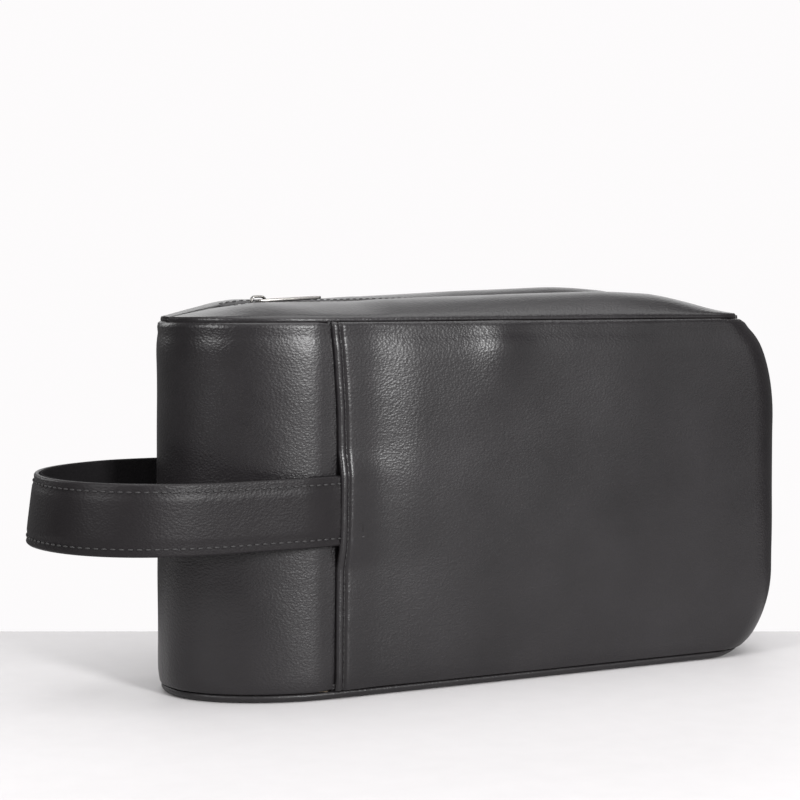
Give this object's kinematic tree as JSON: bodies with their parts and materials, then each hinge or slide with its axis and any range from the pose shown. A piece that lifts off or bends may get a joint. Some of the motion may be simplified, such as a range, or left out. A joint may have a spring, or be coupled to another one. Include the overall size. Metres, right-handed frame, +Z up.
{
  "type": "wash bag",
  "caption": "Boxy leather toiletry pouch with a rounded end, a side strap loop, a lengthwise zip between crowned top strips, and a stiffened, lined body.",
  "frame": {"origin": "middle of the bag's nominal length, without the strap, on the underside of the base", "axes": "+X along the bag, away from the strap; -Y is the front face; +Z up"},
  "size_m": [0.301, 0.0832, 0.1459],
  "materials": {
    "leather": "smooth fine-grained black leather, semi-matt",
    "strap_leather": "smooth black leather with topstitched edges",
    "strap_suede": "napped black suede",
    "foam": "closed-cell foam backing",
    "board": "stiff fibre board",
    "lining_cloth": "plain woven polyester lining",
    "zip_tape": "woven herringbone zip tape",
    "zip_teeth": "moulded black nylon",
    "zip_metal": "bright plated die casting"
  },
  "bodies": {
    "root": {"end_panel": "leather", "front_panel": "leather", "back_panel": "leather", "base_panel": "leather", "front_top_strip_left": "leather", "front_top_strip_right": "leather", "back_top_strip_left": "leather", "back_top_strip_right": "leather", "end_foam": "foam", "front_foam": "foam", "back_foam": "foam", "base_board": "board", "front_lining": "lining_cloth", "back_lining": "lining_cloth", "base_lining": "lining_cloth", "front_zip_tape_left": "zip_tape", "front_zip_tape_right": "zip_tape", "back_zip_tape_left": "zip_tape", "back_zip_tape_right": "zip_tape", "front_zip_teeth_left": "zip_teeth", "front_zip_teeth_right": "zip_teeth", "back_zip_teeth_left": "zip_teeth", "back_zip_teeth_right": "zip_teeth", "front_top_stop": "zip_metal", "back_top_stop": "zip_metal", "zip_bottom_stop": "zip_metal"},
    "front_flap": {"front_top_strip": "leather", "front_zip_tape": "zip_tape", "front_zip_teeth": "zip_teeth"},
    "back_flap": {"back_top_strip": "leather", "back_zip_tape": "zip_tape", "back_zip_teeth": "zip_teeth"},
    "slider": {"slider_body": "zip_metal"},
    "pull": {"pull_tab": "zip_metal"},
    "handle": {"strap_outer": "strap_leather", "strap_lining": "strap_suede"}
  },
  "joints": [
    {"name": "slider_travel", "type": "slide", "parent": "root", "child": "slider", "axis": [1, 0, 0], "range_m": [0, 0.165]},
    {"name": "pull_swing", "type": "hinge", "parent": "slider", "child": "pull", "pos_m": [-0.0892, 0, 0.1421], "axis": [0, -1, 0], "range_deg": [0, 170]},
    {"name": "front_flap_lift", "type": "hinge", "parent": "root", "child": "front_flap", "pos_m": [0, -0.0369, 0.1353], "axis": [1, 0, 0], "range_deg": [0, 60]},
    {"name": "back_flap_lift", "type": "hinge", "parent": "root", "child": "back_flap", "pos_m": [0, 0.0369, 0.1353], "axis": [-1, 0, 0], "range_deg": [0, 60]},
    {"name": "strap_swing", "type": "hinge", "parent": "root", "child": "handle", "pos_m": [-0.0885, 0, 0.068], "axis": [0, 1, 0], "range_deg": [-25, 25]}
  ]
}
